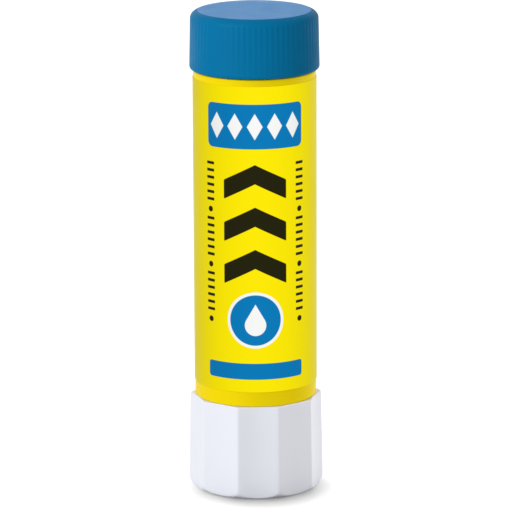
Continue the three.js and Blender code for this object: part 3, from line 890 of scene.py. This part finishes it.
def glueColumn(size):
    # Profile: cast round the nut and in the cup, then out to the bore's width, with a rounded, worn tip.
    # Near the tip the height falls by worn - waveHeight (radius / outer) w, where w is the sum of
    # share sin(count angle + phase).
    _, bottom, top = extent("glue")
    rim = bottom + size["cupTop"]
    nutTop = bottom + size["nutTop"]
    outline = outlineOf([
        (size["hollow"], bottom, size["footRound"], 1),
        (size["inCup"], bottom, size["castRound"], 1),
        (size["inCup"], rim, size["innerRound"], 0.5),
        (size["outer"], rim, size["edgeRound"], 0.8),
        (size["outer"], top, size["tipRound"], 0.5, 1),
        (size["bore"], top, size["boreRound"], 0.8, 1),
        (size["bore"], nutTop, size["edgeRound"], 0.5),
        (size["hollow"], nutTop, size["innerRound"], 1),
    ], closed=True)
    radius, height, _, angle = spun(outline, size["columns"])
    nearTip = ease((height - top + size["tipRound"] + size["wornBelow"]) / size["tipRound"])
    waves = sum(share * np.sin(count * angle + phase) for count, phase, share in size["waves"])
    height = height + (size["waveHeight"] * waves * radius / size["outer"] - size["worn"]) * nearTip
    return slotted(radius, angle, carrier), height, angle


addPiece("glueStickColumn", glueColumn(glue), gluePaste, "carrier", "glue", wrapRows=True)


# Floor, world and lights

stage = {
    "floorHalf": 1500,  # half the side of the square floor
    "floorLift": -0.02,  # just under the foot
    "floorColour": "#8A8A8A",  # what the floor gives back to the stick
    "floorCamera": 0.4,  # diffuse share that the camera and gloss see, so that the shadow stays
    "floorGlow": 0.24,
    "ambient": (0.56, 0.55, 0.53),
    "aim": (0, 0, 50),  # where the lamps point
}

# Azimuth is in degrees from the front to the right, and power in watts. A lamp leaves out the pieces under
# "flagged", as a photographer's flag would shade them, and reaches nothing but those under "only". A matt
# lamp isn't seen in gloss.
lamps = [
    # Softbox to the left and above, for the knob, the cap and the bare plastic of the barrel
    {"name": "keySoftbox", "azimuth": -46, "elevation": 22, "distance": 900, "size": (250, 600),
     "power": 4.9, "colour": (0.96, 0.98, 1.0), "flagged": ("labelFilm", "floor")},
    # Softbox in front, for the label and the glue
    {"name": "frontSoftbox", "azimuth": 3, "elevation": 24, "distance": 900, "size": (500, 600),
     "power": 4.1, "colour": (1.0, 1.0, 1.0),
     "flagged": ("capShell", "knobBody", "barrelShell", "floor")},
    # Card to the right and low, which lifts the shaded side of the knob and the bare plastic
    {"name": "fillCard", "azimuth": 98, "elevation": 0, "distance": 700, "size": (200, 300),
     "power": 2.7, "colour": (1.0, 0.98, 0.98), "flagged": ("capShell", "labelFilm", "floor")},
    # Card behind and low, for the sides that the photograph doesn't show
    {"name": "backCard", "azimuth": 182, "elevation": 3, "distance": 900, "size": (500, 500),
     "power": 4.5, "colour": (1.0, 1.0, 1.0), "flagged": ("floor",), "matt": True},
    # Lamp high above, a little behind and to the left, for the tight shadow round the foot. It shines
    # through the knob, whose ridges would leave corners in a shadow that is round in the photograph.
    {"name": "floorLamp", "azimuth": -166, "elevation": 87.6, "distance": 6000, "size": (500, 500),
     "power": 660.0, "colour": (1.0, 1.0, 1.0), "only": ("floor",), "through": ("knobBody",)},
]


def showsBackground(tree):
    # 1 for rays from the camera, off gloss and through clear material, else 0: the larger of the three
    path = addNode(tree, "ShaderNodeLightPath")
    seen = path.outputs["Is Camera Ray"]
    for ray in ("Is Glossy Ray", "Is Transmission Ray"):
        larger = addNode(tree, "ShaderNodeMath", {0: seen, 1: path.outputs[ray]}, operation="MAXIMUM")
        seen = larger.outputs[0]
    return seen


def addFloor(size):
    # A square. Where it is seen, a grey that keeps the shadow with a glow added, and plain grey elsewhere.
    half, level = size["floorHalf"] * 0.001, size["floorLift"] * 0.001
    mesh = bpy.data.meshes.new("floor")
    corners = [(-half, -half, level), (half, -half, level), (half, half, level), (-half, half, level)]
    mesh.from_pydata(corners, [], [(0, 1, 2, 3)])
    floor = bpy.data.objects.new("floor", mesh)
    scene.collection.objects.link(floor)
    material = bpy.data.materials.new("paintedFloor")
    material.use_nodes = True
    tree = material.node_tree
    tree.nodes.clear()
    lit = addNode(tree, "ShaderNodeBsdfDiffuse", {"Color": toLinear(size["floorColour"])})
    seen = addNode(tree, "ShaderNodeBsdfDiffuse", {"Color": (*[size["floorCamera"]] * 3, 1)})
    glow = addNode(tree, "ShaderNodeEmission", {"Strength": size["floorGlow"]})
    both = addNode(tree, "ShaderNodeAddShader", {0: seen.outputs[0], 1: glow.outputs[0]})
    mixed = addNode(tree, "ShaderNodeMixShader", {
        0: showsBackground(tree), 1: lit.outputs[0], 2: both.outputs[0]})
    addNode(tree, "ShaderNodeOutputMaterial", {"Surface": mixed.outputs[0]})
    mesh.materials.append(material)


def addWorld(size):
    # White where it is seen, and elsewhere the pale light of a room
    world = bpy.data.worlds.new("paleRoom")
    scene.world = world
    world.use_nodes = True
    tree = world.node_tree
    tree.nodes.clear()
    room = addNode(tree, "ShaderNodeBackground", {"Color": (*size["ambient"], 1), "Strength": 1.0})
    white = addNode(tree, "ShaderNodeBackground", {"Color": (1, 1, 1, 1), "Strength": 1.0})
    mixed = addNode(tree, "ShaderNodeMixShader", {
        0: showsBackground(tree), 1: room.outputs[0], 2: white.outputs[0]})
    addNode(tree, "ShaderNodeOutputWorld", {"Surface": mixed.outputs[0]})


def linkedPieces(title, names, state):
    # A collection of the pieces that a lamp reaches, leaves out or shines through
    pieces = bpy.data.collections.new(title)
    for name in names:
        pieces.objects.link(bpy.data.objects[name])
    for entry in pieces.collection_objects:
        entry.light_linking.link_state = state
    return pieces


def addLamp(lamp, aim):
    # Place: aim + distance * (sin azimuth cos elevation, -cos azimuth cos elevation, sin elevation)
    azimuth, elevation = math.radians(lamp["azimuth"]), math.radians(lamp["elevation"])
    away = np.array([math.sin(azimuth) * math.cos(elevation), -math.cos(azimuth) * math.cos(elevation),
                     math.sin(elevation)])
    data = bpy.data.lights.new(lamp["name"], "AREA")
    data.shape = "RECTANGLE"
    data.size, data.size_y = (side * 0.001 for side in lamp["size"])
    data.energy = lamp["power"]
    data.color = lamp["colour"]
    light = bpy.data.objects.new(lamp["name"], data)
    light.visible_glossy = not lamp.get("matt", False)
    scene.collection.objects.link(light)
    side = np.cross([0, 0, 1], away)
    side /= np.linalg.norm(side)
    place = (np.array(aim) + away * lamp["distance"]) * 0.001
    matrix = np.eye(4)
    matrix[:3, :4] = np.stack([side, np.cross(away, side), away, place], 1)
    light.matrix_world = Matrix(matrix.tolist())
    links = light.light_linking
    if "only" in lamp:
        links.receiver_collection = linkedPieces(lamp["name"] + "Only", lamp["only"], "INCLUDE")
    if "flagged" in lamp:
        links.receiver_collection = linkedPieces(lamp["name"] + "Flag", lamp["flagged"], "EXCLUDE")
    if "through" in lamp:
        links.blocker_collection = linkedPieces(lamp["name"] + "Through", lamp["through"], "EXCLUDE")


addFloor(stage)
addWorld(stage)
for lamp in lamps:
    addLamp(lamp, stage["aim"])
scene.view_settings.view_transform = "Standard"
print("stage set")
